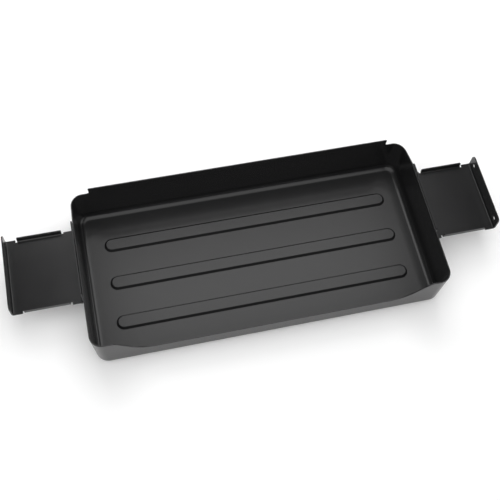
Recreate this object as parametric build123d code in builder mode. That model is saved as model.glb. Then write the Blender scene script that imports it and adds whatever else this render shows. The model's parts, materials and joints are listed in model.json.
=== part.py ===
from build123d import *
import math
import os

# Under-desk drawer: a shallow pressed-steel tray that slides forward between two wing brackets.
#
# Frame: the origin is the middle of the tray's footprint on the surface it rests on. +Z is up,
# X runs along the tray's long side, and -Y is the front, the way the tray is pulled.
# Sizes are in millimetres. Right-hand pieces are drawn, and left-hand pieces are their mirror.

# ---- Tray ----
tray_length = 400.0          # outside, along X, at the top of the rear wall
tray_depth = 189.0           # outside, along Y, at the same height
tray_sheet = 1.2
side_height = 56.4           # rim of the side walls and of the front corners
rear_rise = 2.9              # raised middle of the rear wall, above that rim
corner_drop = 6.9            # rim round the two rear corners, below it
lip_drop = 28.6              # low middle of the front wall, below it
corner_radius = 14.0         # outside, wall to wall
floor_radius = 8.0           # outside, floor to wall
side_draft = 2.4             # how far each side wall leans out over its height
front_draft = 0.8
rear_draft = 2.4

rim_ramp_setback = 34.9      # the side rim starts to drop this far in front of the rear wall
rim_ramp_length = 25.0
rim_ramp_blend = 12.0
rear_raise_inset = 22.5      # from a side wall's outer face to the raised middle of the rear
rear_raise_foot = 2.5        # blend radius at the foot of each step
rear_raise_corner = 1.0

lip_length = 297.5           # the low lip of the front wall, between the feet of its two slopes
lip_slope_run = 25.75        # each slope, along X
lip_blend_top = 10.0
lip_blend_bottom = 36.0

# ---- Ribs pressed up out of the tray's floor ----
rib_count = 3
rib_pitch = 48.7
rib_length = 341.0           # at the foot, over the round ends
rib_width = 16.2             # at the foot
rib_height = 2.4
rib_slope = 47.5             # side of a rib, degrees from the floor
rib_blend = 1.0
rib_middle_y = -1.3

# ---- Wing brackets ----
bracket_sheet = 1.5
bracket_bend = 1.5           # inside bend radius
bracket_depth = 90.0         # along Y
bracket_middle_y = 14.5
bracket_length = 79.0        # along X, from the upright's face to the end flange's
bracket_gap = 0.5            # running gap between the tray's side wall and the upright
web_height = 31.2            # top of the web above the tray's underside
upright_height = 25.1        # above the top of the web
upright_corner = 3.0
end_flange_height = 18.5     # above the top of the web
end_flange_corner = 5.0
side_flange_length = 50.0
side_flange_height = 6.0     # above the top of the web
side_flange_corner = 1.5
side_flange_inset = 14.9     # from the upright's face to the side flanges
relief_width = 2.0
relief_depth = 3.2
bolt_hole_radius = 2.5
bolt_pitch = 72.0
bolt_height = 8.5            # centre of the bolt holes above the top of the web

# ---- Ball runners, under the webs ----
runner_drop = 10.7           # from the underside of the web to the middle of the runner
travel = 70.0                # how far the tray opens
stop_gap = 0.3               # left between a stop and what it meets

rail_thickness = 3.6         # inner rail, welded to the tray's side wall
rail_height = 11.0
rail_rear = 92.0             # rear end, along Y
track_front = -23.0          # outer track, front end along Y
track_rear = 58.5            # and rear end
track_lip_gap = 0.4          # between the rail's seat on the wall and the lips of the track
track_back = 1.2             # sheet of the track's back
track_lip = 1.6              # thickness of its upper and lower lips
track_corner = 0.8
track_back_gap = 1.1         # from the rail to the track's back, where the cage runs
crimp_length = 2.0           # where the ball grooves are closed, at one end of rail and track

ball_radius = 1.25
ball_count = 4               # in each row
ball_sides = 12              # flats round a ball, which keep the balls light
ball_offset = 2.0            # ball centres from the rail's seat on the wall
ball_rise = 0.5              # ball centres beyond the rail's edge
ball_play = 0.08             # radial clearance between a ball and its grooves
cage_sheet = 0.5
cage_lip = 0.4
cage_pocket_play = 0.1
cage_end = 2.4               # cage beyond its last ball centres

hanger_sheet = 1.5
hanger_bend = 1.5            # inside bend radius
hanger_leg = 18.0            # flange that is welded under the web, along X

buffer_length = 5.0          # closing buffer in front of the rail, along Y
buffer_round = 0.8

# ---- Derived places ----
front_y = -tray_depth / 2
rear_y = tray_depth / 2
wall_x = tray_length / 2
rear_height = side_height + rear_rise
corner_height = side_height - corner_drop
lip_height = side_height - lip_drop
rear_raise_x = wall_x - rear_raise_inset
rim_ramp_start = rear_y - rim_ramp_setback
slope_top_x = lip_length / 2 + lip_slope_run
margin = 1.0                 # how far cutting tools reach past what they cut
reach = 0.1                  # how near to a stated place an edge must lie to be picked

bracket_rear = bracket_middle_y + bracket_depth / 2
bracket_front = bracket_middle_y - bracket_depth / 2
upright_x = wall_x + bracket_gap
flange_x = upright_x + bracket_length
side_flange_middle = upright_x + side_flange_inset + side_flange_length / 2
web_under = web_height - bracket_sheet
upright_top = web_height + upright_height
bend_outside = bracket_bend + bracket_sheet


def wall_at(height):
    """Outer face of the right side wall, which leans out towards the rim."""
    return wall_x - side_draft * (1 - height / rear_height)


runner_height = web_under - runner_drop
rail_top = rail_height / 2
seat_x = wall_at(runner_height + rail_top)
rail_x = seat_x + rail_thickness
back_x = rail_x + track_back_gap
track_x = back_x + track_back
lip_x = seat_x + track_lip_gap
ball_x = seat_x + ball_offset
ball_z = rail_top + ball_rise
groove_radius = ball_radius + ball_play
lip_z = ball_z + ball_rise
track_top = lip_z + track_lip

# The front ball stops against the closed end of the track's groove when the tray is fully out,
# and the rear ball against the closed end of the rail's.
ball_front = track_front + crimp_length + stop_gap + ball_radius + travel / 2
ball_rear = rail_rear - crimp_length - stop_gap - ball_radius - travel / 2
ball_pitch = (ball_rear - ball_front) / (ball_count - 1)
cage_front = ball_front - cage_end
cage_rear = ball_rear + cage_end
cage_x = rail_x + (track_back_gap - cage_sheet) / 2
cage_lip_z = ball_z - cage_lip / 2
rail_front = track_front - stop_gap


def write_piece(piece, name):
    """Label a finished piece and write it as its own STEP file."""
    piece.label = name
    export_step(piece, f"parts/{name}.step")


def write_pair(right_piece, name):
    """Write a right-hand piece and its mirror on the left."""
    write_piece(right_piece, f"{name}_right")
    with BuildPart() as left:
        mirror(right_piece, about=Plane.YZ)
    write_piece(left.part, f"{name}_left")


def make_rim_envelope():
    """Everything below the tray's rim line, which steps and slopes on all four sides."""
    with BuildPart() as envelope:
        with BuildSketch(Plane.YZ):
            with BuildLine():
                Polyline(
                    (front_y - margin, -margin),
                    (front_y - margin, side_height),
                    (rim_ramp_start, side_height),
                    (rim_ramp_start + rim_ramp_length, corner_height),
                    (rear_y + margin, corner_height),
                    (rear_y + margin, -margin),
                    close=True,
                )
            outline = make_face()
            ramp_ends = outline.vertices().filter_by_position(
                Axis.X, rim_ramp_start - margin, rim_ramp_start + rim_ramp_length + margin
            )
            fillet(ramp_ends, radius=rim_ramp_blend)
        extrude(amount=wall_x + margin, both=True)

        # The rear wall seen from behind: low at the corners, raised in the middle.
        wall_zone = rear_draft + tray_sheet + margin
        with BuildSketch(Plane.XZ.offset(-rear_y - margin)):
            with Locations((0, corner_height / 2)):
                Rectangle(tray_length, corner_height)
            with Locations((0, rear_height / 2)):
                Rectangle(2 * rear_raise_x, rear_height)
            inner = vertices().filter_by_position(
                Axis.X, -rear_raise_x - reach, rear_raise_x + reach
            )
            feet = inner.filter_by_position(Axis.Y, corner_height - reach, corner_height + reach)
            fillet(feet, radius=rear_raise_foot)
            fillet(vertices().group_by(Axis.Y)[-1], radius=rear_raise_corner)
        extrude(amount=wall_zone + margin)

        # The front wall seen from the front: cut down to a low lip between two S-shaped slopes.
        with BuildSketch(Plane.XZ.offset(-front_y - corner_radius)):
            with BuildLine():
                Polyline(
                    (-lip_length / 2, lip_height),
                    (lip_length / 2, lip_height),
                    (slope_top_x, side_height),
                    (wall_x + margin, side_height),
                    (wall_x + margin, rear_height + margin),
                    (-wall_x - margin, rear_height + margin),
                    (-wall_x - margin, side_height),
                    (-slope_top_x, side_height),
                    close=True,
                )
            make_face()
            fillet(vertices().group_by(Axis.Y)[0], radius=lip_blend_bottom)
            slope_tops = vertices().filter_by_position(
                Axis.X, -slope_top_x - reach, slope_top_x + reach
            )
            fillet(slope_tops.group_by(Axis.Y)[-1], radius=lip_blend_top)
        extrude(amount=corner_radius + margin, mode=Mode.SUBTRACT)
    return envelope.part


def make_tray():
    """The tray: one pressed sheet with rounded corners and three hollow ribs in its floor."""
    envelope = make_rim_envelope()
    taper = 90 - rib_slope
    rib_thinning = tray_sheet * math.tan(math.radians(rib_slope / 2))
    with BuildPart() as tray:
        # A block with four leaning sides, rounded, and hollowed out from above.
        with BuildSketch(Plane.YZ):
            with BuildLine():
                Polyline(
                    (front_y + front_draft, 0),
                    (rear_y - rear_draft, 0),
                    (rear_y, rear_height),
                    (front_y, rear_height),
                    close=True,
                )
            make_face()
        extrude(amount=wall_x, both=True)
        with BuildSketch(Plane.XZ):
            with BuildLine():
                Polyline(
                    (side_draft - wall_x, 0),
                    (wall_x - side_draft, 0),
                    (wall_x, rear_height),
                    (-wall_x, rear_height),
                    close=True,
                )
            make_face()
        extrude(amount=tray_depth, both=True, mode=Mode.INTERSECT)
        corners = edges().filter_by(Axis.X, reverse=True).filter_by(Axis.Y, reverse=True)
        fillet(corners, radius=corner_radius)
        fillet(faces().sort_by(Axis.Z)[0].edges(), radius=floor_radius)
        offset(amount=-tray_sheet, openings=faces().sort_by(Axis.Z)[-1])
        add(envelope, mode=Mode.INTERSECT)

        with BuildSketch(Plane.XY.offset(tray_sheet)):
            with Locations((0, rib_middle_y)):
                with GridLocations(0, rib_pitch, 1, rib_count):
                    SlotOverall(rib_length, rib_width)
        extrude(amount=rib_height, taper=taper)
        rib_edges = edges(Select.LAST).group_by(Axis.Z)
        fillet(rib_edges[0] + rib_edges[-1], radius=rib_blend)

        with BuildSketch(Plane.XY):
            with Locations((0, rib_middle_y)):
                with GridLocations(0, rib_pitch, 1, rib_count):
                    SlotOverall(rib_length - 2 * rib_thinning, rib_width - 2 * rib_thinning)
        extrude(amount=rib_height, taper=taper, mode=Mode.SUBTRACT)
    return tray.part


def make_bracket():
    """Right-hand wing bracket: upright beside the tray, flat web, and a bolted end flange."""
    with BuildPart() as bracket:
        # Upright, web and end flange are one folded strip, seen here from the front.
        with BuildSketch(Plane.XZ.offset(-bracket_rear)):
            with BuildLine():
                FilletPolyline(
                    (upright_x, upright_top),
                    (upright_x, web_under),
                    (flange_x, web_under),
                    (flange_x, web_height + end_flange_height),
                    radius=bend_outside,
                )
                offset(amount=bracket_sheet, side=Side.LEFT)
            make_face()
        extrude(amount=bracket_depth)

        top_corners = edges().filter_by(Axis.X)
        fillet(top_corners.group_by(Axis.Z)[-1], radius=upright_corner)
        flange_top = web_height + end_flange_height
        flange_corners = edges().filter_by(Axis.X).filter_by_position(
            Axis.Z, flange_top - reach, flange_top + reach
        )
        fillet(flange_corners, radius=end_flange_corner)

        # The web is cut back where the side flanges fold up, with a relief at each end.
        with BuildSketch(Plane.XY.offset(web_under - margin)):
            with Locations((side_flange_middle, bracket_middle_y)):
                with GridLocations(0, bracket_depth, 1, 2):
                    Rectangle(side_flange_length + 2 * relief_width, 2 * relief_depth)
        extrude(amount=bracket_sheet + 2 * margin, mode=Mode.SUBTRACT)

        with BuildSketch(Plane.YZ.offset(side_flange_middle)):
            with BuildLine():
                FilletPolyline(
                    (bracket_front, web_height + side_flange_height),
                    (bracket_front, web_under),
                    (bracket_rear, web_under),
                    (bracket_rear, web_height + side_flange_height),
                    radius=bend_outside,
                )
                offset(amount=bracket_sheet, side=Side.LEFT)
            make_face()
        extrude(amount=side_flange_length / 2, both=True)
        tip = web_height + side_flange_height
        tips = edges().filter_by(Axis.Y).filter_by_position(Axis.Z, tip - reach, tip + reach)
        fillet(tips, radius=side_flange_corner)

        with BuildSketch(Plane.YZ.offset(flange_x + margin)):
            with Locations((bracket_middle_y, web_height + bolt_height)):
                with GridLocations(bolt_pitch, 0, 2, 1):
                    Circle(bolt_hole_radius)
        extrude(amount=-bracket_sheet - 2 * margin, mode=Mode.SUBTRACT)
    return bracket.part


def make_hanger():
    """L-shaped hanger: its flange is welded under the web, its leg carries the outer track."""
    with BuildPart() as hanger:
        with BuildSketch(Plane.XZ.offset(-track_rear)):
            with BuildLine():
                FilletPolyline(
                    (track_x, runner_height - track_top),
                    (track_x, web_under),
                    (track_x + hanger_leg, web_under),
                    radius=hanger_bend + hanger_sheet,
                )
                offset(amount=hanger_sheet, side=Side.RIGHT)
            make_face()
        extrude(amount=track_rear - track_front)
    return hanger.part


def make_outer_track():
    """Outer track: a C-shaped rail whose two lips each carry a ball groove."""
    with BuildPart() as track:
        with BuildSketch(Plane.XZ.offset(-track_rear)):
            with Locations((lip_x, runner_height)):
                Rectangle(track_x - lip_x, 2 * track_top, align=(Align.MIN, Align.CENTER))
                Rectangle(
                    back_x - lip_x,
                    2 * lip_z,
                    align=(Align.MIN, Align.CENTER),
                    mode=Mode.SUBTRACT,
                )
            back_corners = vertices().group_by(Axis.X)[-1]
            fillet(back_corners, radius=track_corner)
        extrude(amount=track_rear - track_front)

        # Both grooves are closed at the front end, where the front balls stop.
        with BuildSketch(Plane.XZ.offset(-track_rear)):
            with Locations((ball_x, runner_height)):
                with GridLocations(0, 2 * ball_z, 1, 2):
                    Circle(groove_radius)
        extrude(amount=track_rear - track_front - crimp_length, mode=Mode.SUBTRACT)
    return track.part


def seated_corners(height):
    """Corners of a strip on the side wall: its back follows the wall, its front is upright."""
    low = runner_height - height / 2
    high = runner_height + height / 2
    return (wall_at(low), low), (rail_x, low), (rail_x, high), (wall_at(high), high)


def make_inner_rail():
    """Inner rail on the tray's side wall, with a ball groove along its top and bottom edge."""
    with BuildPart() as rail:
        with BuildSketch(Plane.XZ.offset(-rail_rear)):
            with BuildLine():
                Polyline(*seated_corners(rail_height), close=True)
            make_face()
        extrude(amount=rail_rear - rail_front)
        with BuildSketch(Plane.XZ.offset(-rail_rear + crimp_length)):
            with Locations((ball_x, runner_height)):
                with GridLocations(0, 2 * ball_z, 1, 2):
                    Circle(groove_radius)
        extrude(amount=rail_rear - rail_front, mode=Mode.SUBTRACT)
    return rail.part


def make_ball(place, row_z):
    """One ball, a stack of many-sided slices whose corners all lie on its round surface."""
    step = 2 * math.pi / ball_sides
    with BuildPart() as ball:
        with BuildSketch(Plane.XY.offset(row_z)):
            with Locations((ball_x, place)):
                RegularPolygon(ball_radius * math.cos(step / 2), ball_sides)
        extrude(amount=ball_radius * math.sin(step / 2), both=True)
        for ring in range(ball_sides // 4 - 1):
            low = (ring + 0.5) * step
            high = low + step
            rise = ball_radius * (math.sin(high) - math.sin(low))
            inset = ball_radius * (math.cos(low) - math.cos(high)) * math.cos(step / 2)
            with BuildSketch(Plane.XY.offset(row_z + ball_radius * math.sin(low))):
                with Locations((ball_x, place)):
                    RegularPolygon(ball_radius * math.cos(low), ball_sides)
            extrude(amount=rise, taper=math.degrees(math.atan2(inset, rise)))
        mirror(about=Plane.XY.offset(row_z))
    return ball.part


def make_ball_cage():
    """Cage: a thin C-shaped strip with a half-round pocket for each ball."""
    with BuildPart() as cage:
        with BuildSketch(Plane.XZ.offset(-cage_rear)):
            with Locations((ball_x, runner_height)):
                Rectangle(
                    cage_x + cage_sheet - ball_x,
                    2 * (cage_lip_z + cage_lip),
                    align=(Align.MIN, Align.CENTER),
                )
                Rectangle(
                    cage_x - ball_x,
                    2 * cage_lip_z,
                    align=(Align.MIN, Align.CENTER),
                    mode=Mode.SUBTRACT,
                )
        extrude(amount=cage_rear - cage_front)
        with BuildSketch(Plane.XY.offset(runner_height - track_top)):
            with Locations((ball_x, (cage_front + cage_rear) / 2)):
                with GridLocations(0, ball_pitch, 1, ball_count):
                    Circle(ball_radius + cage_pocket_play)
        extrude(amount=2 * track_top, mode=Mode.SUBTRACT)
    return cage.part


def make_buffer():
    """Closing buffer on the tray's wall, which meets the front end of the outer track."""
    with BuildPart() as block:
        with BuildSketch(Plane.XZ.offset(-rail_front)):
            with BuildLine():
                Polyline(*seated_corners(2 * track_top), close=True)
            make_face()
        extrude(amount=buffer_length)
        outer = faces().sort_by(Axis.X)[-1]
        fillet(outer.edges().filter_by(Axis.Z).sort_by(Axis.Y)[0], radius=buffer_round)
    return block.part


os.makedirs("parts", exist_ok=True)
write_piece(make_tray(), "tray")
write_pair(make_bracket(), "bracket")
write_pair(make_hanger(), "runner_hanger")
write_pair(make_outer_track(), "outer_track")
write_pair(make_inner_rail(), "inner_rail")
write_pair(make_ball_cage(), "ball_cage")
write_pair(make_buffer(), "closing_buffer")
for index in range(ball_count):
    place = ball_front + index * ball_pitch
    write_pair(make_ball(place, runner_height + ball_z), f"upper_ball_{index + 1}")
    write_pair(make_ball(place, runner_height - ball_z), f"lower_ball_{index + 1}")
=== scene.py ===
import json
import math

import bmesh
import bpy
import numpy as np
from mathutils import Matrix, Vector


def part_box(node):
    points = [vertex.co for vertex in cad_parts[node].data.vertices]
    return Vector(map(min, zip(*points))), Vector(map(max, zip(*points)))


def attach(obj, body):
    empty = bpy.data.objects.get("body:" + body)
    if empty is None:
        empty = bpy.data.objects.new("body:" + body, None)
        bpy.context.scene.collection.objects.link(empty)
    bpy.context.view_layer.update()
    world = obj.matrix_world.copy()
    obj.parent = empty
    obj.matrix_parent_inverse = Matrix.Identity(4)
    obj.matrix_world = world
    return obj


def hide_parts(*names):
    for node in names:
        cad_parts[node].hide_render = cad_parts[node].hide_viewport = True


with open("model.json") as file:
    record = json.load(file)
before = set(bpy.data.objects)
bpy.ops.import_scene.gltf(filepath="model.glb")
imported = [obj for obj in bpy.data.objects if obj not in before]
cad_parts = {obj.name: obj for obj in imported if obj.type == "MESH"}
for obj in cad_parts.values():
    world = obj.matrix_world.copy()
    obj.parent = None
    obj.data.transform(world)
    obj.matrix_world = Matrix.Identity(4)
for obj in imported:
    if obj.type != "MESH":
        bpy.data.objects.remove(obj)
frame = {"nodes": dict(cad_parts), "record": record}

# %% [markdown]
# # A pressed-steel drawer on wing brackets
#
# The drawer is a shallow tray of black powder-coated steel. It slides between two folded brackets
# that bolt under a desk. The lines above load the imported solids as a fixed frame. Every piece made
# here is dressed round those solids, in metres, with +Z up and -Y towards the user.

mm = 0.001                   # sizes of pieces are written in millimetres
right_angle = math.pi / 2
scene = bpy.context.scene
scene.view_settings.view_transform = "Standard"
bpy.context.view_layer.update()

# %% [markdown]
# ## The camera
#
# The camera looks down into the tray from the front left, and it is held a little crooked, so it
# turns about its own line of sight as well. A Track To constraint could aim it, but that keeps it
# level. A camera in Blender looks along its own -Z with +Y up, so its three axes are worked out
# here from an azimuth, an elevation and that roll.

# %% Camera
camera_place = np.array([-132.05, -386.9, 872.2]) * mm
camera_azimuth = math.radians(-17.774)
camera_elevation = math.radians(64.41)
camera_roll = math.radians(6.052)
lens_length = 58.87          # millimetres, as the sensor's width is
sensor_width = 36.0


def camera_turn(azimuth, elevation, roll):
    """Columns are the camera's right, up and backward directions.

    Backward points away from the drawer: azimuth turns it round from -Y, and elevation lifts it.
    Right is level, at right angles to it, and up completes the three. Then roll turns both about
    it: right becomes cos(roll) * right + sin(roll) * up.
    """
    back = np.array([
        math.sin(azimuth) * math.cos(elevation),
        -math.cos(azimuth) * math.cos(elevation),
        math.sin(elevation),
    ])
    level_right = np.cross([0.0, 0.0, 1.0], back)
    level_right /= np.linalg.norm(level_right)
    level_up = np.cross(back, level_right)
    right = math.cos(roll) * level_right + math.sin(roll) * level_up
    up = math.cos(roll) * level_up - math.sin(roll) * level_right
    return np.column_stack([right, up, back])


camera_data = bpy.data.cameras.new("camera")
camera_data.lens = lens_length
camera_data.sensor_width = sensor_width
camera = bpy.data.objects.new("camera", camera_data)
scene.collection.objects.link(camera)
placing = np.identity(4)
placing[:3, :3] = camera_turn(camera_azimuth, camera_elevation, camera_roll)
placing[:3, 3] = camera_place
camera.matrix_world = Matrix(placing.tolist())
scene.camera = camera
print("camera stands", round(float(np.linalg.norm(camera_place)), 3), "m from the origin")

# %% [markdown]
# ## Shader arithmetic
#
# A finish is a formula over the surface: a grain, some mottling, a little wear. Node by node that
# is slow to read, so one small class wraps a node's output and gives it ordinary arithmetic. Each
# operator adds the Math node that does the same sum.

# %% A socket that adds and multiplies
mix_share, mix_from, mix_to, mix_result = 0, 6, 7, 2     # a Mix node's sockets for colours


class Socket:
    """One output of a node. Arithmetic on it adds Math nodes, and make() adds any other node."""

    def __init__(self, output):
        self.output = output
        self.tree = output.id_data

    def make(self, kind, settings, values, result=0):
        """Add a node: settings first, then a number or a link for each input named in values."""
        node = self.tree.nodes.new(kind)
        for name, setting in settings.items():
            setattr(node, name, setting)
        for name, value in values.items():
            if isinstance(value, Socket):
                self.tree.links.new(value.output, node.inputs[name])
            else:
                node.inputs[name].default_value = value
        return Socket(node.outputs[result])

    def __add__(self, other):
        """This value plus a number or another socket, by a Math node."""
        return self.make("ShaderNodeMath", {"operation": "ADD"}, {0: self, 1: other})

    def __mul__(self, other):
        """This value times a number or another socket, by a Math node."""
        return self.make("ShaderNodeMath", {"operation": "MULTIPLY"}, {0: self, 1: other})

    __radd__ = __add__
    __rmul__ = __mul__

    def between(self, low, high):
        """0 below low, 1 above high. Between, at t of the way, 3 * t**2 - 2 * t**3."""
        return self.make(
            "ShaderNodeMapRange",
            {"interpolation_type": "SMOOTHSTEP"},
            {"Value": self, "From Min": low, "From Max": high},
        )

    def noise(self, per_metre, detail=2.0, roughness=0.5):
        """Cloudy noise from 0 to 1 on these coordinates, with per_metre lumps in a metre."""
        values = {"Vector": self, "Scale": per_metre, "Detail": detail, "Roughness": roughness}
        return self.make("ShaderNodeTexNoise", {}, values)

    def stretched(self, across, along, up):
        """These coordinates scaled by three factors, so that a pattern on them is drawn out."""
        return self.make("ShaderNodeMapping", {}, {"Vector": self, "Scale": (across, along, up)})

    def blended(self, colour_low, colour_high):
        """A colour between two, this value of the way from the first to the second."""
        values = {mix_share: self, mix_from: (*colour_low, 1.0), mix_to: (*colour_high, 1.0)}
        return self.make("ShaderNodeMix", {"data_type": "RGBA"}, values, mix_result)

    def bumps(self, depth):
        """A normal bent by this height, which is depth metres from 0 to 1."""
        values = {"Height": self, "Strength": 1.0, "Distance": depth}
        return self.make("ShaderNodeBump", {}, values)


# %% A new finish


def new_finish(name, **constants):
    """A material, its Principled shader set to the constants, and its object coordinates."""
    material = bpy.data.materials.new(name)
    material.use_nodes = True
    shader = material.node_tree.nodes["Principled BSDF"]
    for socket_name, value in constants.items():
        shader.inputs[socket_name.replace("_", " ")].default_value = value
    place = material.node_tree.nodes.new("ShaderNodeTexCoord")
    print("finish", name, "starts with", ", ".join(constants))
    return material, shader, Socket(place.outputs["Object"])


def feed(shader, **patterns):
    """Link each pattern to the shader's socket of that name."""
    for socket_name, pattern in patterns.items():
        target = shader.inputs[socket_name.replace("_", " ")]
        shader.id_data.links.new(pattern.output, target)
    print(len(shader.id_data.nodes), "nodes now lead to", ", ".join(patterns))

# %% [markdown]
# ## Floor and light
#
# Such a drawer is shown on white. The floor is a pale plane that takes the object's shadow, and
# it is nearly white by its own colour where the lamps reach it. Further off it glows instead, and
# a round backdrop in the same finish closes the horizon. Glossy faces and glass see that glow too.
# A white world alone would be simpler, but it gives the drawer nothing to stand on.
#
# Three soft boxes hang above the drawer. The middle one is what the tray's floor mirrors, and it
# ends before the right wing does. A soft wall of light behind and one on the right bring the
# light to a plain level, at which a colour renders about as it is written.

# %% Floor
floor_reach = 6.0            # metres from the drawer to each edge
floor_drop = 0.0005          # the floor lies a hair below the tray's underside
floor_grey = 0.95


def add_object(name, points, faces):
    """A mesh object at the origin from points in metres and rows of corner numbers."""
    mesh = bpy.data.meshes.new(name)
    mesh.from_pydata(np.asarray(points).tolist(), [], np.asarray(faces).tolist())
    mesh.update()
    piece = bpy.data.objects.new(name, mesh)
    scene.collection.objects.link(piece)
    return piece


corners = np.array([[-1, -1, 0], [1, -1, 0], [1, 1, 0], [-1, 1, 0]]) * floor_reach
floor = add_object("floor", corners - [0, 0, floor_drop], [[0, 1, 2, 3]])
floor_finish, floor_shader, floor_place = new_finish(
    "pale_floor",
    Base_Color=(floor_grey, floor_grey, floor_grey, 1.0),
    Roughness=0.9,
    Specular_IOR_Level=0.0,
    Emission_Strength=1.0,
)
floor.data.materials.append(floor_finish)

# %% White background
near_glow = 0.08             # added to the floor under the lamps, so that it reaches white
glow_rise = (0.9, 2.4)       # metres from the drawer over which it takes over from the lamps
black, white = (0.0, 0.0, 0.0), (1.0, 1.0, 1.0)

camera_ray, glossy_ray, glass_ray = (
    floor_place.make("ShaderNodeLightPath", {}, {}, f"Is {kind} Ray")
    for kind in ("Camera", "Glossy", "Transmission")
)
floor_rays = camera_ray + glossy_ray + glass_ray
distance = floor_place.make(
    "ShaderNodeVectorMath", {"operation": "LENGTH"}, {"Vector": floor_place}, "Value"
)
glow = near_glow + (1.0 - near_glow) * distance.between(*glow_rise)
feed(floor_shader, Emission_Color=(floor_rays * glow).blended(black, white))
print("floor glows fully from", glow_rise[1], "m")

# %% Backdrop
backdrop_reach, backdrop_height = 5.5, 1.0       # metres
backdrop_sides = 48
round_it = np.linspace(0.0, 2.0 * math.pi, backdrop_sides, endpoint=False)
circle = np.stack([np.cos(round_it), np.sin(round_it), np.zeros(backdrop_sides)], axis=1)
foot = circle * backdrop_reach
number = np.arange(backdrop_sides)
after = np.roll(number, -1)
backdrop = add_object(
    "backdrop",
    np.concatenate([foot - [0, 0, floor_drop], foot + [0, 0, backdrop_height]]),
    np.stack([after, number, number + backdrop_sides, after + backdrop_sides], axis=1),
)
backdrop.data.materials.append(floor_finish)
print("backdrop of", len(backdrop.data.polygons), "faces stands round the floor")

# %% Room
room_light = 0.02            # a trace from all round, so that no corner is quite black
world = bpy.data.worlds.new("room")
world.use_nodes = True
scene.world = world
background = world.node_tree.nodes["Background"]
background.inputs["Color"].default_value = (*white, 1.0)
background.inputs["Strength"].default_value = room_light
print("room light", room_light)

# %% Soft boxes
overhead = 1.05              # height of the boxes that hang, in metres
wall_reach = 1.70            # distance of the two that stand
wall_height = 0.52           # and the height of their middles
facing_down = (0.0, 0.0, 0.0)
facing_forward = (right_angle, 0.0, math.pi)
facing_left = (right_angle, 0.0, right_angle)
lamps = {                    # place, size, radiance, turn
    "middle_soft_box": ((0.147, 0.4035, overhead), (0.820, 0.293), 2.56, facing_down),
    "rear_soft_box": ((0.0865, 1.175, overhead), (1.085, 1.05), 3.30, facing_down),
    "front_soft_box": ((-0.554, -0.6365, overhead), (2.292, 1.727), 1.53, facing_down),
    "rear_wall_box": ((0.0, wall_reach, wall_height), (3.40, 1.04), 1.78, facing_forward),
    "right_wall_box": ((wall_reach, 0.0, wall_height), (3.20, 1.04), 1.68, facing_left),
}


def hang_soft_box(name, place, size, radiance, turn):
    """A lamp that faces down until turned. Its power is its radiance times pi times its area."""
    lamp = bpy.data.lights.new(name, "AREA")
    lamp.shape = "RECTANGLE"
    lamp.size, lamp.size_y = size
    lamp.energy = radiance * math.pi * size[0] * size[1]
    hung = bpy.data.objects.new(name, lamp)
    hung.location = place
    hung.rotation_euler = turn
    scene.collection.objects.link(hung)
    print(name, "gives", round(lamp.energy, 2), "watts")


for name, settings in lamps.items():
    hang_soft_box(name, *settings)

# %% [markdown]
# ## Finishes
#
# The sheet metal is powder coated: black, satin, with the fine orange peel that the powder leaves
# as it melts. The runner's parts are zinc-plated steel with the faint streaks of rolled strip,
# riveted with plain steel. The balls are polished, the cages are milky plastic and the buffers
# black rubber. Each pattern is noise on the piece's own coordinates, so it moves with the piece
# and needs no picture and no unwrapping.

# %% Black powder coat
coat_dark = (0.0122, 0.0122, 0.0126)
coat_pale = (0.0158, 0.0158, 0.0163)
coat, coat_shader, coat_place = new_finish("black_powder_coat", IOR=1.45)
orange_peel = coat_place.noise(900.0, detail=3.0)
fine_grain = coat_place.noise(4200.0, detail=2.0)
mottling = coat_place.noise(14.0, detail=3.0, roughness=0.6)
handling = coat_place.noise(45.0, detail=4.0, roughness=0.65)
feed(
    coat_shader,
    Base_Color=(mottling * 0.7 + handling * 0.3).blended(coat_dark, coat_pale),
    Roughness=0.165 + 0.05 * mottling + 0.05 * handling + 0.03 * fine_grain,
    Normal=(orange_peel * 0.75 + fine_grain * 0.25).bumps(0.03 * mm),
)

# %% Zinc-plated steel
zinc, zinc_shader, zinc_place = new_finish("zinc_plated_steel", Metallic=1.0)
streaks = zinc_place.stretched(1.0, 0.03, 1.0).noise(2600.0, detail=3.0)
clouding = zinc_place.noise(70.0, detail=3.0)
feed(
    zinc_shader,
    Base_Color=clouding.blended((0.52, 0.53, 0.55), (0.66, 0.67, 0.68)),
    Roughness=0.28 + 0.1 * streaks + 0.08 * clouding,
    Normal=streaks.bumps(0.01 * mm),
)

# %% Rivet steel
rivet_steel, rivet_shader, rivet_place = new_finish("rivet_steel", Metallic=1.0)
hammering = rivet_place.noise(1400.0, detail=2.0)
feed(
    rivet_shader,
    Base_Color=hammering.blended((0.50, 0.50, 0.51), (0.60, 0.60, 0.61)),
    Roughness=0.30 + 0.12 * hammering,
    Normal=hammering.bumps(0.02 * mm),
)

# %% Ball steel
ball_steel, ball_shader, ball_place = new_finish("ball_steel", Metallic=1.0)
polish = ball_place.noise(900.0, detail=2.0)
feed(
    ball_shader,
    Base_Color=polish.blended((0.70, 0.71, 0.73), (0.80, 0.80, 0.81)),
    Roughness=0.08 + 0.08 * polish,
)

# %% Cage plastic
cage_plastic, cage_shader, cage_place = new_finish("cage_plastic", IOR=1.45)
flow_marks = cage_place.stretched(1.0, 0.2, 1.0).noise(420.0, detail=2.0)
feed(
    cage_shader,
    Base_Color=flow_marks.blended((0.56, 0.55, 0.49), (0.66, 0.65, 0.60)),
    Roughness=0.42 + 0.1 * flow_marks,
    Normal=cage_place.noise(2400.0).bumps(0.02 * mm),
)

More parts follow.
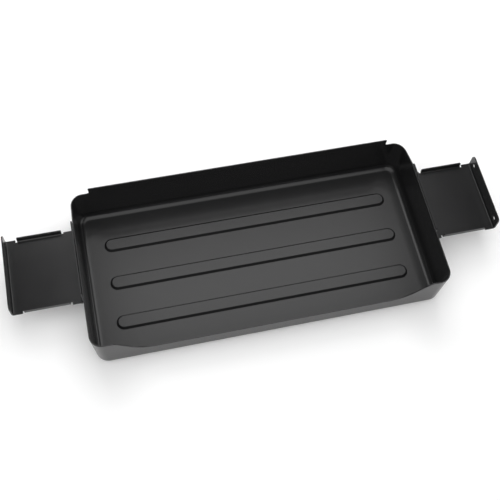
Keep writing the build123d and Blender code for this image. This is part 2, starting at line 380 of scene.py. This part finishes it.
# %% Buffer rubber
rubber, rubber_shader, rubber_place = new_finish("buffer_rubber", IOR=1.45)
bloom = rubber_place.noise(260.0, detail=3.0)
feed(
    rubber_shader,
    Base_Color=bloom.blended((0.010, 0.010, 0.010), (0.022, 0.022, 0.021)),
    Roughness=0.6 + 0.15 * bloom,
    Normal=rubber_place.noise(3200.0).bumps(0.03 * mm),
)

# %% [markdown]
# ## The parts that keep their solids
#
# Hangers, tracks, rails, cages and buffers are short straight sections that lie under the webs.
# They could be drawn again, as the tray and the wings are further on, but their solids already
# carry every edge that shows. So they only get their finishes here. The other solids get one too,
# until the surfaces made below take their place.

# %% Finishes on the solids
finishes = {
    "black_powder_coat": coat,
    "zinc_plated_steel": zinc,
    "ball_steel": ball_steel,
    "cage_plastic": cage_plastic,
    "buffer_rubber": rubber,
}
for part in frame["record"]["subparts"]:
    for material_slot in frame["nodes"][part["node"]].material_slots:
        material_slot.material = finishes[part["material_slot"]]
print("finishes on", len(frame["nodes"]), "solids")

# %% [markdown]
# ## The tray: where its columns stand
#
# The real tray is pressed from one sheet, so it has no sharp edge anywhere. The solid shows its
# shape in coarse facets, which a satin coat would give away, so the sheet is worked out again as
# a fine surface. It could be a subdivided box, but the rim steps and slopes at stated heights.
# Instead, columns stand all round the wall. Each one has a place on a rectangle inside the wall
# and a direction outwards, and the same columns carry the floor, the wall and the rim.

# %% Sizes of the tray, in millimetres
sheet = 1.2
tray_half_x, tray_half_y = 200.0, 94.5                           # outside, at the highest rim
side_rim, rear_rim, corner_rim, lip_rim = 56.4, 59.3, 49.5, 27.8     # heights
side_draft, front_draft, rear_draft = 2.4, 0.8, 2.4              # how far each wall leans out
corner_radius, floor_radius, edge_round = 14.0, 8.0, 0.3
lip_end, slope_end = 148.75, 174.5       # from the middle of the front, along X
raise_end, step_end = 177.5, 177.55      # from the middle of the rear, along X
ramp_start, ramp_end = 59.6, 84.6        # of both side walls, along Y
past_wall = 100.0                        # a Y past the ends of both side walls
rectangle_half_x = tray_half_x - corner_radius
rectangle_half_y = tray_half_y - corner_radius


def rounded_line(corners, radii, steps):
    """Points along a bent line, each inner corner replaced by an arc of its radius.

    An arc starts and ends radius * tan(turn / 2) from its corner, on the two lines, and its middle
    is that corner moved along the bisector by radius / cos(turn / 2). Seen from the middle, its
    points are (sin((1 - share) * turn) * start + sin(share * turn) * end) / sin(turn).
    """
    corners = np.asarray(corners, dtype=float)
    points = [corners[:1]]
    for before, corner, after, radius in zip(corners, corners[1:], corners[2:], radii):
        towards = (before - corner) / np.linalg.norm(before - corner)
        away = (after - corner) / np.linalg.norm(after - corner)
        opening = math.acos(np.clip(towards @ away, -1.0, 1.0))
        bisector = (towards + away) / np.linalg.norm(towards + away)
        middle = corner + bisector * radius / math.sin(opening / 2)
        start = corner + towards * radius / math.tan(opening / 2) - middle
        end = corner + away * radius / math.tan(opening / 2) - middle
        share = np.linspace(0.0, 1.0, steps + 1)[:, None]
        turn = math.pi - opening
        arc = (np.sin((1 - share) * turn) * start + np.sin(share * turn) * end) / math.sin(turn)
        points.append(middle + arc)
    points.append(corners[-1:])
    return np.vstack(points)


front_rim_line = rounded_line(
    [(0.0, lip_rim), (lip_end, lip_rim), (slope_end, side_rim), (tray_half_x, side_rim)],
    radii=[36.0, 10.0], steps=14,
)
rear_rim_line = rounded_line(
    [(0.0, rear_rim), (raise_end, rear_rim), (step_end, corner_rim), (tray_half_x, corner_rim)],
    radii=[1.0, 2.5], steps=8,
)
side_rim_line = rounded_line(
    [(-past_wall, side_rim), (ramp_start, side_rim), (ramp_end, corner_rim),
     (past_wall, corner_rim)],
    radii=[12.0, 12.0], steps=6,
)
print("rim lines have", len(front_rim_line), len(rear_rim_line), len(side_rim_line), "points")

# %% Columns round the wall
rim_zone = 54.0              # the height at which the rim's features are turned into columns
ribbed_x, end_x = 162.0, 163.0   # columns stand closer past the straight part of the ribs
ribbed_columns, end_columns, side_columns = 37, 13, 49
corner_steps = 14
share_digits = 6             # shares that agree to this many decimals are one column
tiny = 1e-9                  # room for rounding where numbers are compared


def rectangle_at(share_x, share_y, height):
    """A point of the inner rectangle at a height, from shares of -1 to 1 of its half sides.

    Its sides lean out with the walls: each half side shrinks by draft * (1 - height / top).
    """
    lean = 1.0 - np.asarray(height, dtype=float) / rear_rim
    front = -rectangle_half_y + front_draft * lean
    rear = rectangle_half_y - rear_draft * lean
    x = share_x * (rectangle_half_x - side_draft * lean)
    y = front + (rear - front) * (share_y + 1.0) / 2.0
    return x, y


def share_of(y, height):
    """The share_y whose point lies at y, at that height: twice the way from the front, less 1."""
    front = rectangle_at(0.0, -1.0, height)[1]
    rear = rectangle_at(0.0, 1.0, height)[1]
    return 2.0 * (np.asarray(y, dtype=float) - front) / (rear - front) - 1.0


half_at_rim = rectangle_at(1.0, 0.0, rim_zone)[0]
features = np.concatenate([front_rim_line[1:-1, 0], rear_rim_line[1:-1, 0]])
right_x = np.concatenate([
    np.linspace(0.0, ribbed_x, ribbed_columns),
    np.linspace(end_x, half_at_rim, end_columns),
    features,
])
right_shares = np.unique(np.round(right_x / half_at_rim, share_digits))
shares_x = np.concatenate([-right_shares[:0:-1], right_shares])

cell_lines = [-25.65, 23.05]         # floor cells, one for each rib, meet on these lines
cell_shares = share_of(cell_lines, sheet)
features = share_of(side_rim_line[1:-1, 0], rim_zone)
even = np.linspace(-1.0, 1.0, side_columns)
shares_y = np.unique(np.round(np.concatenate([even, cell_shares, features]), share_digits))
shares_y = shares_y[(shares_y >= -1.0) & (shares_y <= 1.0)]

quarter = np.linspace(0.0, right_angle, corner_steps + 1)[1:-1]
ones_x, ones_y, ones_c = np.ones(len(shares_x)), np.ones(len(shares_y)), np.ones(len(quarter))
column_x = np.concatenate([
    shares_x, ones_c, ones_y, ones_c, shares_x[::-1], -ones_c, -ones_y, -ones_c,
])
column_y = np.concatenate([
    -ones_x, -ones_c, shares_y, ones_c, ones_x, ones_c, shares_y[::-1], -ones_c,
])
column_angle = np.concatenate([
    -right_angle * ones_x, quarter - right_angle, 0.0 * ones_y, quarter,
    right_angle * ones_x, quarter + right_angle, math.pi * ones_y, quarter + math.pi,
])
out_x, out_y = np.cos(column_angle), np.sin(column_angle)
print(len(column_x), "columns round the wall")

# %% Rim height of each column
wall_middle = corner_radius - sheet / 2
rim_x, rim_y = rectangle_at(column_x, column_y, rim_zone)
rim_x = rim_x + wall_middle * out_x
rim_y = rim_y + wall_middle * out_y
on_front = (column_y == -1.0) & (out_y < tiny - 1.0)
on_rear = (column_y == 1.0) & (out_y > 1.0 - tiny)
rim_height = np.interp(rim_y, side_rim_line[:, 0], side_rim_line[:, 1])
rim_height = np.where(on_front, np.interp(abs(rim_x), *front_rim_line.T), rim_height)
rim_height = np.where(on_rear, np.interp(abs(rim_x), *rear_rim_line.T), rim_height)

step = np.hypot(np.roll(rim_x, -1) - rim_x, np.roll(rim_y, -1) - rim_y)
run = step + np.roll(step, 1)
rise = np.roll(rim_height, -1) - np.roll(rim_height, 1)
rim_slope = np.hypot(run, rise)
rim_lean = -rise / rim_slope         # the rim's normal, along the wall
rim_up = run / rim_slope             # and upwards
print("rim from", round(rim_height.min(), 2), "to", round(rim_height.max(), 2), "mm high")

# %% [markdown]
# ## The tray: wall and rim
#
# A column's inner face runs from the floor through a bend and up the wall. At the rim it turns
# over a small rounded edge and comes down the outer face. A Solidify modifier could give the sheet
# its thickness, but it would not keep the rim level across, so both faces are rows of one grid.
# Each row is one distance from the rectangle and one height, for all the columns at once.

# %% Faces from a grid


def grid_faces(rows, columns, closed):
    """Rows of four corner numbers for a grid of points. A closed grid joins its last column."""
    row = np.arange(rows - 1)[:, None]
    column = np.arange(columns if closed else columns - 1)[None, :]
    following = (column + 1) % columns
    faces = np.stack([
        row * columns + column, row * columns + following,
        (row + 1) * columns + following, (row + 1) * columns + column,
    ], axis=-1)
    return faces.reshape(-1, 4)


def add_surface(name, grids, finish, merge=0.001 * mm):
    """A piece from grids of points (rows, columns, closed), its seams and poles merged."""
    points = np.vstack([grid.reshape(-1, 3) for grid, closed in grids])
    starts = np.cumsum([0] + [grid.shape[0] * grid.shape[1] for grid, closed in grids])
    faces = np.vstack([
        grid_faces(grid.shape[0], grid.shape[1], closed) + start
        for (grid, closed), start in zip(grids, starts)
    ])
    piece = add_object(name, points * mm, faces)
    shape = bmesh.new()
    shape.from_mesh(piece.data)
    bmesh.ops.remove_doubles(shape, verts=shape.verts, dist=merge)
    bmesh.ops.dissolve_degenerate(shape, edges=shape.edges, dist=merge)
    bmesh.ops.recalc_face_normals(shape, faces=shape.faces)
    open_edges = sum(not edge.is_manifold for edge in shape.edges)
    shape.to_mesh(piece.data)
    shape.free()
    piece.data.shade_smooth()
    piece.data.materials.append(finish)
    piece.modifiers.new("even_shading", "WEIGHTED_NORMAL").weight = 100
    print(name, "has", len(piece.data.polygons), "faces and", open_edges, "open edges")
    return piece


# %% Wall grid
bend_steps, edge_steps = 12, 3


def wall_ring(distance, height, along=0.0):
    """One row: each column's point at a distance from the rectangle, moved along the wall."""
    x, y = rectangle_at(column_x, column_y, height)
    x = x + distance * out_x - along * out_y
    y = y + distance * out_y + along * out_x
    return np.stack([x, y, height * np.ones_like(x)], axis=-1)


def rim_ring(distance, inset):
    """One row that follows the rim line, inset below it along the rim's own normal."""
    return wall_ring(distance, rim_height - inset * rim_up, -inset * rim_lean)


def bend_rings(radius, floor_height):
    """Rows from the rectangle out over the flat floor and up through the bend of that radius.

    On the bend a row is radius * sin(angle) past the flat and radius * (1 - cos(angle)) above it.
    """
    flat = corner_radius - floor_radius
    rings = [wall_ring(distance, floor_height) for distance in (0.0, flat / 2, flat)]
    for angle in np.linspace(0.0, right_angle, bend_steps + 1)[1:]:
        distance = flat + radius * math.sin(angle)
        rings.append(wall_ring(distance, floor_height + radius * (1 - math.cos(angle))))
    return rings


def upright_rings(low_ring, high_ring, count=9):
    """Rows spread evenly up the wall between two rows, both of which are left out."""
    return [low_ring + (high_ring - low_ring) * share for share in np.linspace(0, 1, count)[1:-1]]


def edge_rings(face, way):
    """Rows over the rim's round from a face at that distance, which way (1 or -1) leads across.

    At each turn the row is edge_round * (1 - cos(turn)) in from the face and
    edge_round * (1 - sin(turn)) below the rim.
    """
    return [
        rim_ring(
            face + way * edge_round * (1 - math.cos(turn)), edge_round * (1 - math.sin(turn))
        )
        for turn in np.linspace(0.0, right_angle, edge_steps + 1)
    ]


inner_edge = edge_rings(corner_radius - sheet, 1)
outer_edge = edge_rings(corner_radius, -1)[::-1]
inner_rings = bend_rings(floor_radius - sheet, sheet)
outer_rings = bend_rings(floor_radius, 0.0)[::-1]
wall_grid = np.stack(
    inner_rings + upright_rings(inner_rings[-1], inner_edge[0]) + inner_edge
    + outer_edge + upright_rings(outer_edge[-1], outer_rings[0]) + outer_rings
)
print("wall grid is", wall_grid.shape[:2])

# %% [markdown]
# ## The tray: ribbed floor
#
# Three long ribs are pressed up out of the floor, and their undersides are hollow. Round each rib
# the floor is a cell: rings of points that start on the rib's spine, follow its rounded ends, and
# spread until they meet the cell's straight border. The border points are the wall's own columns,
# so floor and wall share their seam.

# %% Rib sizes and profiles
rib_middles = [-50.5, -1.5, 47.1]
rib_spine = 162.6            # half the straight part of a rib
rib_foot = 8.75              # half its width at the floor
rib_height = 2.75
rib_slope = math.radians(49)
rib_run = rib_height / math.tan(rib_slope)
under_foot = rib_foot - sheet * math.tan(rib_slope / 2)
flat_start = rib_foot + 2.0  # the floor is flat from here to the border of its cell


def rib_profile(foot, blend, steps):
    """Half a rib's section: level on top, down a slope to its foot, then level on the floor."""
    corners = [(0.0, rib_height), (foot - rib_run, rib_height), (foot, 0.0), (flat_start, 0.0)]
    return rounded_line(corners, [blend, blend], steps)


top_profile = rib_profile(rib_foot, blend=0.35, steps=6)
under_profile = rib_profile(under_foot, blend=0.3, steps=3)
print("rib foot", rib_foot, "mm, hollow's foot", round(under_foot, 3), "mm from the spine")

# %% Floor cells
flat_shares = np.array([0.3, 0.65, 1.0])     # rings on the flat, in shares of the way out


def cell_border(low_share, high_share, height):
    """Points once round a cell: along its front, up its right side, back and down its left."""
    rows = shares_y[(shares_y >= low_share - tiny) & (shares_y <= high_share + tiny)]
    side = np.ones(len(rows) - 2)
    x = np.concatenate([shares_x, side, shares_x[::-1], -side])
    y = np.concatenate([rows[0] * ones_x, rows[1:-1], rows[-1] * ones_x, rows[-2:0:-1]])
    return np.stack(rectangle_at(x, y, height), axis=-1)


def cell_grid(low_share, high_share, middle_y, profile, height):
    """A floor cell: each border point looks back at the nearest point of the rib's spine.

    The profile gives height against distance from the spine along that line, and past its end the
    floor is flat as far as the border.
    """
    border = cell_border(low_share, high_share, height)
    spine_x = np.clip(border[:, 0], -rib_spine, rib_spine)
    spine = np.stack([spine_x, np.full(len(border), middle_y)], axis=-1)
    reach = np.linalg.norm(border - spine, axis=-1)
    outward = (border - spine) / reach[:, None]
    near = profile[:, 0, None] * np.ones(len(border))
    far = flat_start + (reach - flat_start) * flat_shares[:, None]
    distance = np.vstack([near, far])
    lift = np.concatenate([profile[:, 1], np.zeros(len(flat_shares))])
    place = spine + outward * distance[..., None]
    z = height + lift[:, None] * np.ones(len(border))
    return np.concatenate([place, z[..., None]], axis=-1)


cell_ends = [-1.0, *np.round(cell_shares, share_digits), 1.0]
floor_grids = [
    (cell_grid(low, high, middle, profile, height), True)
    for low, high, middle in zip(cell_ends, cell_ends[1:], rib_middles)
    for profile, height in ((top_profile, sheet), (under_profile, 0.0))
]
tray = add_surface("pressed_tray", [(wall_grid, True)] + floor_grids, coat)
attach(tray, "tray")
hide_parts("tray")

# %% [markdown]
# ## The wings: a flat blank, folded
#
# Each wing bracket is one piece of sheet: an upright beside the tray, a flat web, an end flange
# with two screw holes, and two short side flanges. It could be put together from boxes, but a shop
# cuts the blank flat and then folds it, and made that way the folds and notches come out right.
# Lengths in the blank are measured on the outer skin, where an arc of the bend radius times a
# right angle takes the place of each fold.

# %% Sizes of a wing, in millimetres
wing_sheet = 1.5
fold_radius = 3.0            # outside
upright_x, flange_x = 200.5, 279.5
web_under = 29.7
upright_top = 56.3
flange_top = 49.7
side_flange_top = 37.2
wing_front, wing_rear = -30.5, 59.5
tab_low, tab_high = 215.4, 265.4
relief_width, relief_depth = 2.0, 3.2
relief_mouth, relief_root, tab_corner = 0.3, 0.4, 1.5     # radii of the cuts' corners
upright_corner, flange_corner = 3.0, 5.0
hole_radius = 2.5
hole_places = [-21.5, 50.5]
hole_height = 39.7
fold_rows, hole_sides = 9, 32
cut_reach = 0.00001          # a cut that passes this close to a point goes through it
sharp_from = math.radians(40)    # edges that turn more than this are rounded

fold_arc = fold_radius * right_angle
upright_span = upright_top - web_under - fold_radius
web_span = flange_x - upright_x - 2 * fold_radius
flange_span = flange_top - web_under - fold_radius
web_start = upright_span + fold_arc
flange_start = web_start + web_span + fold_arc
blank_length = flange_start + flange_span
tab_reach = fold_arc + side_flange_top - web_under - fold_radius
print("blank is", round(blank_length, 2), "mm long")

# %% Outline of the blank


def blank_at(x):
    """Length along the blank of a web point at x. The flat starts at upright_x + fold_radius."""
    return web_start + x - upright_x - fold_radius


def rounded_outline(corners, radii, steps=6):
    """A closed outline with each corner rounded by its radius, as rounded_line does.

    Each corner is rounded alone, between the middles of its two sides, which are then left out.
    """
    corners = np.asarray(corners, dtype=float)
    arcs = []
    for before, corner, after, radius in zip(
        np.roll(corners, 1, axis=0), corners, np.roll(corners, -1, axis=0), radii
    ):
        bend = [(before + corner) / 2, corner, (corner + after) / 2]
        arcs.append(rounded_line(bend, [radius], steps)[1:-1])
    return np.vstack(arcs)


def edge_cuts(fold_line, edge, tip):
    """Corners of one long edge of the blank, with a relief on each side of its tab."""
    notch = edge + math.copysign(relief_depth, fold_line - edge)
    low, high = blank_at(tab_low), blank_at(tab_high)
    return [
        (low - relief_width, edge), (low - relief_width, notch), (low, notch), (low, tip),
        (high, tip), (high, notch), (high + relief_width, notch), (high + relief_width, edge),
    ]


front_fold, rear_fold = wing_front + fold_radius, wing_rear - fold_radius
front_cuts = edge_cuts(front_fold, wing_front, front_fold - tab_reach)
rear_cuts = edge_cuts(rear_fold, wing_rear, rear_fold + tab_reach)[::-1]
outline_corners = [
    (0.0, wing_front), *front_cuts, (blank_length, wing_front),
    (blank_length, wing_rear), *rear_cuts, (0.0, wing_rear),
]
half_cut = [relief_mouth, relief_root, relief_root, tab_corner]
cut_radii = half_cut + half_cut[::-1]
outline = rounded_outline(outline_corners, [
    upright_corner, *cut_radii, flange_corner, flange_corner, *cut_radii, upright_corner,
])
round_angles = np.linspace(0.0, 2 * math.pi, hole_sides, endpoint=False)
hole_length = flange_start + hole_height - web_under - fold_radius
holes = [
    np.stack([hole_length + hole_radius * np.cos(round_angles),
              place + hole_radius * np.sin(round_angles)], axis=-1)
    for place in hole_places
]
print("outline has", len(outline), "points")

# %% Cutting the blank


def closed_ring(ring, start):
    """Edges that join the points of a ring in turn, numbered from start."""
    corner = np.arange(len(ring))
    return np.stack([corner, (corner + 1) % len(ring)], axis=-1) + start


def cut_blank(rings, cut_lines):
    """A flat sheet between closed rings, then cut across on lines so that it can bend there."""
    points = np.vstack(rings)
    starts = np.cumsum([0] + [len(ring) for ring in rings])
    edges = np.vstack([closed_ring(ring, start) for ring, start in zip(rings, starts)])
    mesh = bpy.data.meshes.new("blank")
    mesh.from_pydata(np.pad(points, ((0, 0), (0, 1))).tolist(), edges.tolist(), [])
    shape = bmesh.new()
    shape.from_mesh(mesh)
    bmesh.ops.triangle_fill(shape, edges=shape.edges, use_beauty=True)
    for place, normal in cut_lines:
        everything = shape.verts[:] + shape.edges[:] + shape.faces[:]
        bmesh.ops.bisect_plane(
            shape, geom=everything, plane_co=place, plane_no=normal, dist=cut_reach
        )
    shape.to_mesh(mesh)
    shape.free()
    return mesh


fold_steps = np.linspace(0.0, fold_arc, fold_rows)
cut_lines = [
    ((start + step, 0, 0), (1, 0, 0))
    for start in (upright_span, web_start + web_span) for step in fold_steps
]
cut_lines += [((0, front_fold - step, 0), (0, 1, 0)) for step in fold_steps]
cut_lines += [((0, rear_fold + step, 0), (0, 1, 0)) for step in fold_steps]
cut_lines += [((blank_at(x), 0, 0), (1, 0, 0)) for x in (tab_low, tab_high)]
blank = cut_blank([outline, *holes], cut_lines)
print("blank has", len(blank.polygons), "faces")

# %% Folding


def folded(past):
    """A right-angled fold: how far a strip goes on and how far it rises, past its fold line.

    On the arc the two are radius * sin(angle) and radius * (1 - cos(angle)), and beyond the arc
    the strip rises straight up.
    """
    angle = np.clip(past / fold_radius, 0.0, right_angle)
    onward = np.minimum(past, 0.0) + fold_radius * np.sin(angle)
    rise = fold_radius * (1 - np.cos(angle)) + np.maximum(past - fold_arc, 0.0)
    return onward, rise


def fold_blank(flat):
    """Outer skin of the wing from points of the blank: both end folds, then the tabs.

    Lengths are taken from the web's middle, so that one sum folds both ends. A point of a tab
    past its fold line is folded once more, across the blank.
    """
    length, across = flat[:, 0], flat[:, 1]
    middle = web_start + web_span / 2
    side = np.sign(length - middle)
    onward, rise = folded(abs(length - middle) - web_span / 2)
    x = (upright_x + flange_x) / 2 + side * (web_span / 2 + onward)
    in_tab = (x > tab_low - relief_width / 2) & (x < tab_high + relief_width / 2)
    fold_line = np.where(across > 0, rear_fold, front_fold)
    past = np.sign(across) * (across - fold_line)
    tab_onward, tab_rise = folded(past)
    bent = in_tab & (past > 0)
    y = np.where(bent, fold_line + np.sign(across) * tab_onward, across)
    z = web_under + rise + np.where(bent, tab_rise, 0.0)
    return np.stack([x, y, z], axis=-1)


def read_points(mesh):
    """A mesh's points as rows of three."""
    flat = np.empty(len(mesh.vertices) * 3)
    mesh.vertices.foreach_get("co", flat)
    return flat.reshape(-1, 3)


skin = fold_blank(read_points(blank))
print("folded wing spans", np.round(skin.max(0) - skin.min(0), 2), "mm")

# %% Both wings


def add_wing(name, points):
    """A wing from its outer skin, which faces down and outwards. Its sheet grows inwards."""
    mesh = blank.copy()
    mesh.vertices.foreach_set("co", (points * mm).ravel())
    mesh.update()
    facing = np.empty(len(mesh.polygons) * 3)
    mesh.polygons.foreach_get("normal", facing)
    if facing.reshape(-1, 3)[:, 2].sum() > 0:
        mesh.flip_normals()
    mesh.shade_smooth()
    mesh.materials.append(coat)
    piece = bpy.data.objects.new(name, mesh)
    scene.collection.objects.link(piece)
    thick = piece.modifiers.new("sheet", "SOLIDIFY")
    thick.thickness = wing_sheet * mm
    thick.offset = -1.0
    thick.use_even_offset = True
    soft = piece.modifiers.new("coated_edge", "BEVEL")
    soft.width = edge_round * mm
    soft.segments = 3
    soft.limit_method = "ANGLE"
    soft.angle_limit = sharp_from
    piece.modifiers.new("even_shading", "WEIGHTED_NORMAL").weight = 100
    return piece


for side, sign in (("right", 1), ("left", -1)):
    wing = add_wing(f"folded_wing_{side}", skin * [sign, 1, 1])
    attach(wing, "brackets")
    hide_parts(f"bracket_{side}")
    print(wing.name, "starts from", len(wing.data.polygons), "faces")
bpy.data.meshes.remove(blank)

# %% [markdown]
# ## Balls and rivets
#
# Each runner rolls on two rows of steel balls. The solids give them flats, to stay light, so
# round ones take their place. A ball could be one of Blender's own spheres. Here it is a half
# circle turned about an upright axis, because the same function then makes the rivets. They hold
# the outer track to its hanger, and their heads are low domes, turned about an axis along X.

# %% Turned surfaces


def turned(profile, turns):
    """A profile of (radius, height) pairs carried once round the third axis.

    A pair's point is (radius * cos(angle), radius * sin(angle), height) at each angle.
    """
    angle = np.linspace(0.0, 2 * math.pi, turns, endpoint=False)
    radius, height = profile[:, 0, None], profile[:, 1, None]
    return np.stack([radius * np.cos(angle), radius * np.sin(angle), height + 0 * angle], axis=-1)


ball_radius = 1.25
ball_rows, dome_rows = 13, 9
polar = np.linspace(-right_angle, right_angle, ball_rows)
ball_profile = ball_radius * np.stack([np.cos(polar), np.sin(polar)], axis=-1)
one_ball = turned(ball_profile, turns=24)
print("a ball is", one_ball.shape[0], "by", one_ball.shape[1], "points")

# %% Rows of balls
for side in ("right", "left"):
    names = [f"{row}_ball_{count}_{side}" for row in ("upper", "lower") for count in (1, 2, 3, 4)]
    middles = np.array([(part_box(name)[0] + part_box(name)[1]) / (2 * mm) for name in names])
    grids = [(one_ball + middle, True) for middle in middles]
    balls = add_surface(f"runner_balls_{side}", grids, ball_steel)
    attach(balls, f"cage_{side}")
    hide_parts(*names)

# %% Rivet heads
rivet_radius, rivet_height = 2.3, 0.9
rivet_edge = 0.15            # the upright part of a head, below its dome
rivet_places = [(-9.0, 19.0), (44.5, 19.0)]
hanger_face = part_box("runner_hanger_right")[0].x / mm + wing_sheet
polar = np.linspace(0.0, right_angle, dome_rows)
dome_height = rivet_edge + (rivet_height - rivet_edge) * np.sin(polar)
dome = np.stack([rivet_radius * np.cos(polar), dome_height], axis=-1)
head = turned(np.vstack([[(0.0, 0.0), (rivet_radius, 0.0)], dome]), turns=32)
for side, sign in (("right", 1), ("left", -1)):
    lying = np.stack([sign * (hanger_face + head[..., 2]), head[..., 0], head[..., 1]], axis=-1)
    grids = [(lying + [0.0, y, z], True) for y, z in rivet_places]
    rivets = add_surface(f"track_rivets_{side}", grids, rivet_steel)
    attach(rivets, "brackets")
